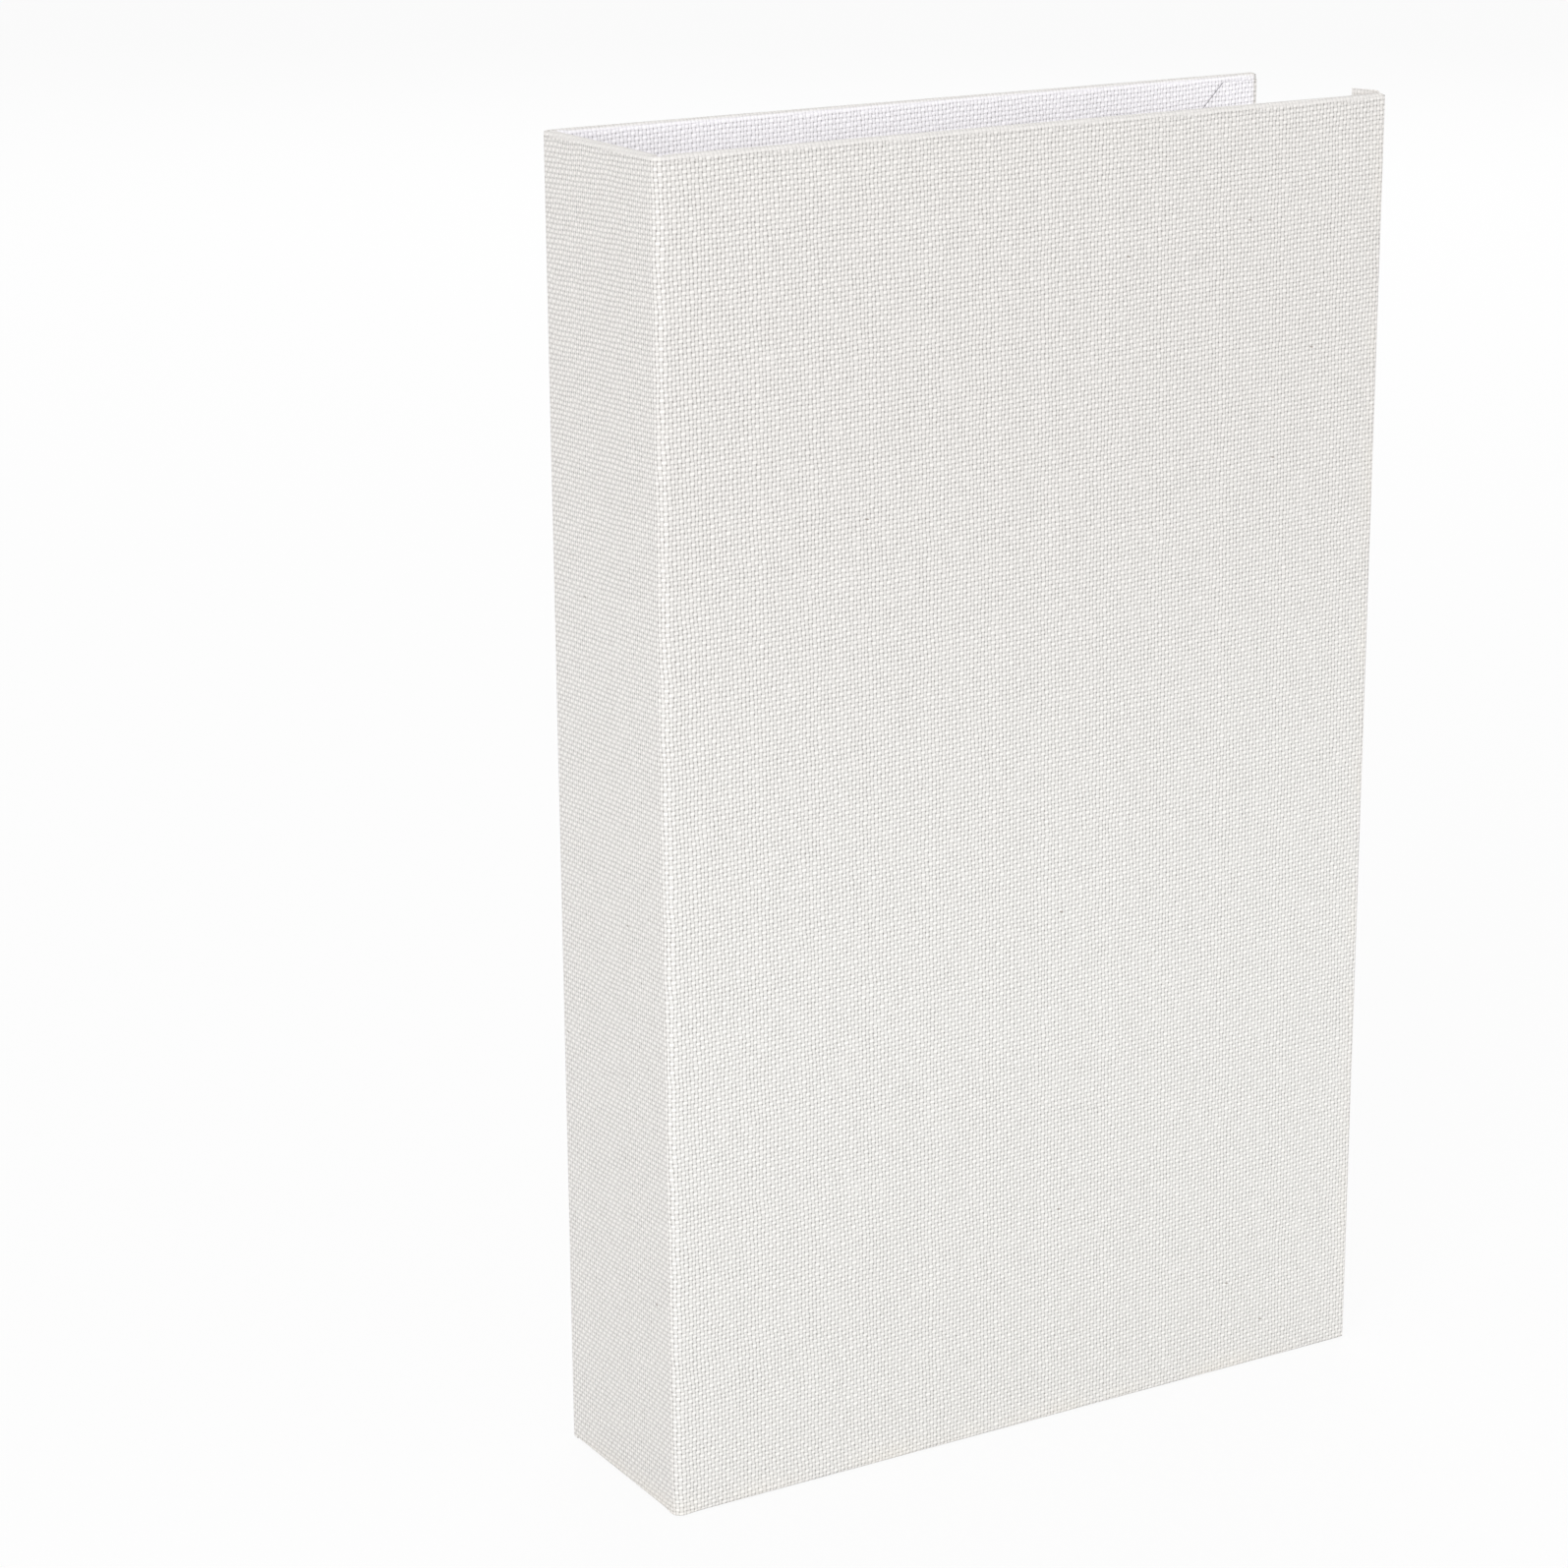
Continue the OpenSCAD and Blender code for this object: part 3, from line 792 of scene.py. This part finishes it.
# One strip of cloth runs round the three walls: up the outside, over the rim and down the inside
def trayCloth(name, cover, tray):
    wall, start, bottom = trayParts["wall"], trayParts["start"], case["coverThick"]
    inset, end, corner = tray["inset"], tray["end"], tray["cornerRound"]
    height, top, rimRound = case["height"], case["coverThick"] + tray["depth"], trayParts["rimRound"]
    legOut = stations(bottom, top - rimRound, near=1.0)[:-1]
    legIn = stations(top - rimRound, trayParts["floorTop"] + trayParts["aboveFloor"], near=1.0)[1:]
    profile = ([(0.0, y, y - bottom) for y in legOut]
               + [(depth, top - rimRound + reach, legOut[-1] + 1 + length)
                  for reach, depth, length in overEdge(wall, rimRound)]
               + [(wall, y, 2 * top - y) for y in legIn])
    cap = [math.radians(a) for a in trayParts["capAngles"]]
    capRound, cornerReach = trayParts["capRound"], trayParts["cornerReach"]
    headX = ([start + capRound * (1 - math.sin(a)) for a in cap]
             + stations(start + capRound, end - cornerReach, near=1.0))
    turn = [math.pi / 2 * k / cornerSteps for k in range(cornerSteps + 1)]
    wallZ = stations(height - inset - cornerReach, inset + cornerReach, near=1.0)
    path = ([("head", x) for x in headX] + [("headCorner", math.pi / 2 - a) for a in turn]
            + [("side", z) for z in wallZ] + [("tailCorner", -a) for a in turn]
            + [("tail", x) for x in reversed(headX)])

    def place(i, j):
        (zone, at), (n, y, length) = path[i], profile[j]
        if zone in ("head", "tail"):
            k = i if zone == "head" else len(path) - 1 - i
            if k < len(cap):
                tuck = capRound * (1 - math.cos(cap[k]))
                n = tuck + n * (wall - 2 * tuck) / wall
                y = bottom + (y - bottom) * (top - bottom - tuck) / (top - bottom)
            return at, y, height - inset - n if zone == "head" else inset + n
        if zone == "side":
            return end - n, y, at
        far, inner = max(corner - n, 0.0), max(n - corner, 0.0)
        x = end - corner - inner + far * math.cos(at)
        z = far * abs(math.sin(at)) - corner - inner
        return x, y, height - inset + z if zone == "headCorner" else inset - z

    lengths = [trayParts["clothTurnIn"]]
    outside = [place(i, 0) for i in range(len(path))]
    for a, b in zip(outside, outside[1:]):
        lengths.append(lengths[-1] + math.dist(a, b))

    def flat(i, j):
        return lengths[i], profile[j][2] + trayParts["clothTurnIn"]

    strip = layGrid(name, len(path), len(profile), place, flat, cover, (10, 2, (0, 0, 1)))
    closeEnds(strip, len(path), len(profile))
    return sew(name, [strip], trayParts["clothThick"], [trayBookCloth])


# Closes the two open ends of a strip that goes over a wall, from its outer side to its inner side
def closeEnds(strip, columns, rows):
    bm = bmesh.new()
    bm.from_mesh(strip.data)
    bm.verts.ensure_lookup_table()
    layer = bm.loops.layers.uv[0]
    for column, turned in ((0, False), (columns - 1, True)):
        ends = [bm.verts[row * columns + column] for row in range(rows)]
        for k in range(rows // 2 - 1):
            ring = [ends[k], ends[k + 1], ends[rows - 2 - k], ends[rows - 1 - k]]
            face = bm.faces.new(ring if turned else list(reversed(ring)))
            for loop in face.loops:
                loop[layer].uv = (loop.vert.co.z, loop.vert.co.y)
    bmesh.ops.recalc_face_normals(bm, faces=bm.faces)
    bm.to_mesh(strip.data)
    bm.free()


# Paper on a tray floor, turned down over its open edge
def floorPaper(name, cover, tray):
    start, under = trayParts["start"], case["coverThick"] + trayParts["paperUnder"]
    top = trayParts["floorTop"] + trayParts["paper"]
    inside = trayParts["wall"] + trayParts["paperGap"]
    low, far = tray["inset"] + inside, tray["end"] - inside
    bend, steps = trayParts["paperBend"], trayParts["paperSteps"]
    halfUp, toBend, pastBend = trayParts["paperWay"]
    way = [(start, under, 0.0), (start, (under + top) / 2, halfUp), (start, top - bend, toBend)]
    for k in range(1, steps + 1):
        a = math.pi / 2 * k / steps
        way.append((start + bend * (1 - math.cos(a)), top - bend + bend * math.sin(a), toBend + bend * a))
    way += [(x, top, x - start + pastBend) for x in stations(start + bend, far)[1:]]
    zs = stations(low, case["height"] - low)
    sheet = layGrid(name, len(way), len(zs), lambda i, j: (way[i][0], way[i][1], zs[j]),
                    lambda i, j: (way[i][2], zs[j]), cover, (12, 12, (0, 1, 0)))
    return sew(name, [sheet], trayParts["paperThick"], [paper], sharp=80)


for prefix, cover, tray, body in (("lid", frontCover, lidTray, "front"), ("base", backCover, baseTray, "back")):
    strip = trayCloth(prefix + "_tray_cloth", cover, tray)
    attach(strip, body)
    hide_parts(*(f"{prefix}_{wall}_wall_cloth" for wall in ("head", "tail", "fore_edge")))
    sheet = floorPaper(prefix + "_floor_paper", cover, tray)
    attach(sheet, body)
    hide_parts(prefix + "_floor_lining")
print("trays covered")


# Boards and fill papers stay as the solids have them
for name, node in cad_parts.items():
    finish = greyboard
    if name.endswith(("cloth", "lining")):
        finish = cloth
    if name.endswith(("paper", "floor_lining")):
        finish = paper
    node.data.materials.clear()
    node.data.materials.append(finish)


# Floor, lamps and background. whiten is how far the camera sees the floor as plain white
studio = {
    "floor": (0.88, 0.88, 0.88), "floorSize": 8, "whiten": 0.89, "world": 0.71,
    "lamps": [
        {"place": (-1.65, -1.45, 1.0), "size": 1.5, "power": 22.5},
        {"place": (1.5, -1.9, 0.5), "size": 1.0, "power": 5.8},
        {"place": (1.3, 1.9, 1.5), "size": 1.6, "power": 14.0},
    ],
    "aim": (0.0, 0.0, 0.16),
}


def seenStraight(finish):
    kinds = [finish.node("ShaderNodeLightPath", {}, out=kind)
             for kind in ("Is Camera Ray", "Is Glossy Ray", "Is Transmission Ray")]
    return (kinds[0] + kinds[1] + kinds[2]).maths("MINIMUM", 1.0)


def setStudio():
    bpy.ops.mesh.primitive_plane_add(size=studio["floorSize"], location=(0, 0, 0))
    floor = bpy.context.object
    floor.name = "floor"
    finish = Finish(bpy.data.materials.new("floorWhite"))
    plain = finish.node("ShaderNodeBsdfDiffuse", {}, {"Color": (*studio["floor"], 1)})
    bright = finish.node("ShaderNodeEmission", {}, {"Color": (1, 1, 1, 1), "Strength": 1.0})
    share = seenStraight(finish) * studio["whiten"]
    shown = finish.node("ShaderNodeMixShader", {}, {0: share, 1: plain, 2: bright})
    floor.data.materials.append(finish.finishWith(shown))

    world = bpy.data.worlds.new("studio")
    bpy.context.scene.world = world
    finish = Finish(world)
    ambient = finish.node("ShaderNodeBackground", {}, {"Color": (1, 1, 1, 1), "Strength": studio["world"]})
    white = finish.node("ShaderNodeBackground", {}, {"Color": (1, 1, 1, 1), "Strength": 1.0})
    shown = finish.node("ShaderNodeMixShader", {}, {0: seenStraight(finish), 1: ambient, 2: white})
    finish.finishWith(shown, "ShaderNodeOutputWorld")
    for lamp in studio["lamps"]:
        bpy.ops.object.light_add(type="AREA", location=lamp["place"])
        light = bpy.context.object
        light.data.size = lamp["size"]
        light.data.energy = lamp["power"]
        way = Vector(studio["aim"]) - Vector(lamp["place"])
        light.rotation_euler = way.to_track_quat("-Z", "Y").to_euler()


setStudio()
bpy.ops.object.select_all(action="DESELECT")
print("studio set")
